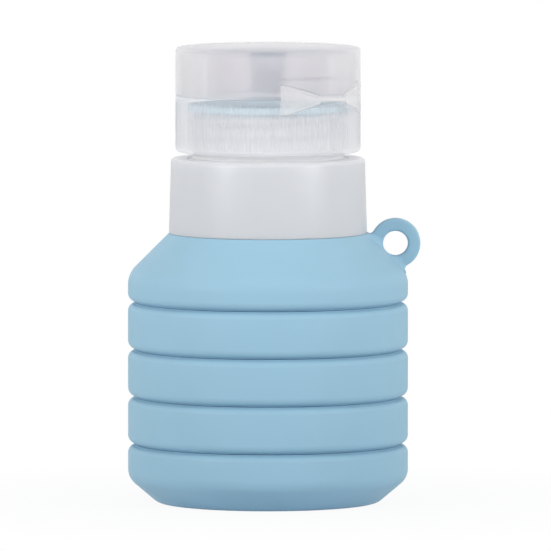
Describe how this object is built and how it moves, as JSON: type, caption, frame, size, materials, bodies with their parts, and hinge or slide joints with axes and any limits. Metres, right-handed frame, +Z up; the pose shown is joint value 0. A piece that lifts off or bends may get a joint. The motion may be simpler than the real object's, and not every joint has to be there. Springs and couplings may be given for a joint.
{
  "type": "travel silicone bottle",
  "caption": "Soft tiered travel bottle that draws out, with a collar, a screw-on flip-top cap, and a hang loop on its shoulder.",
  "frame": {"origin": "on the bottle's axis, at the flat underside that it stands on", "axes": "+Z up the bottle's axis, +X towards the hang loop, -Y is the front"},
  "size_m": [0.0543, 0.052, 0.0847],
  "materials": {
    "body_silicone": "soft silicone, matt",
    "seal_silicone": "soft silicone, matt",
    "collar_plastic": "white polypropylene, satin",
    "neck_plastic": "frosted polypropylene",
    "cap_plastic": "frosted polypropylene"
  },
  "bodies": {
    "base": {"base_cup": "body_silicone", "fold_1": "body_silicone"},
    "band_1": {"band_1": "body_silicone", "fold_2": "body_silicone"},
    "band_2": {"band_2": "body_silicone", "fold_3": "body_silicone"},
    "band_3": {"band_3": "body_silicone", "fold_4": "body_silicone"},
    "neck": {"shoulder": "body_silicone", "hang_loop": "body_silicone", "collar": "collar_plastic", "neck_insert": "neck_plastic"},
    "seal": {"seal_disc": "seal_silicone"},
    "cap": {"cap_base": "cap_plastic"},
    "hinge": {"bow_tie_hinge": "cap_plastic"},
    "lid": {"flip_lid": "cap_plastic"}
  },
  "joints": [
    {"name": "stretch_1", "type": "slide", "parent": "base", "child": "band_1", "axis": [0, 0, 1], "range_m": [0, 0.0045], "deforming": ["fold_1"]},
    {"name": "stretch_2", "type": "slide", "parent": "band_1", "child": "band_2", "axis": [0, 0, 1], "range_m": [0, 0.0045], "deforming": ["fold_2"]},
    {"name": "stretch_3", "type": "slide", "parent": "band_2", "child": "band_3", "axis": [0, 0, 1], "range_m": [0, 0.0045], "deforming": ["fold_3"]},
    {"name": "stretch_4", "type": "slide", "parent": "band_3", "child": "neck", "axis": [0, 0, 1], "range_m": [0, 0.0045], "deforming": ["fold_4"]},
    {"name": "cap_lift", "type": "slide", "parent": "neck", "child": "seal", "axis": [0, 0, 1], "range_m": [0, 0.0084]},
    {"name": "cap_turn", "type": "hinge", "parent": "seal", "child": "cap", "pos_m": [0, 0, 0.06525], "axis": [0, 0, 1], "range_deg": [0, 1080]},
    {"name": "lid_flip", "type": "hinge", "parent": "cap", "child": "lid", "pos_m": [0.01193, -0.01236, 0.0757], "axis": [0.7193, 0.6947, 0], "range_deg": [0, 150]},
    {"name": "hinge_fold", "type": "hinge", "parent": "cap", "child": "hinge", "pos_m": [0.01193, -0.01236, 0.0757], "axis": [0.7193, 0.6947, 0], "range_deg": [0, 75]}
  ],
  "couplings": [
    {"joint": "stretch_2", "follows": "stretch_1", "ratio": 1},
    {"joint": "stretch_3", "follows": "stretch_1", "ratio": 1},
    {"joint": "stretch_4", "follows": "stretch_1", "ratio": 1},
    {"joint": "cap_turn", "follows": "cap_lift", "rad_per_m": 2244},
    {"joint": "hinge_fold", "follows": "lid_flip", "ratio": 0.5}
  ]
}
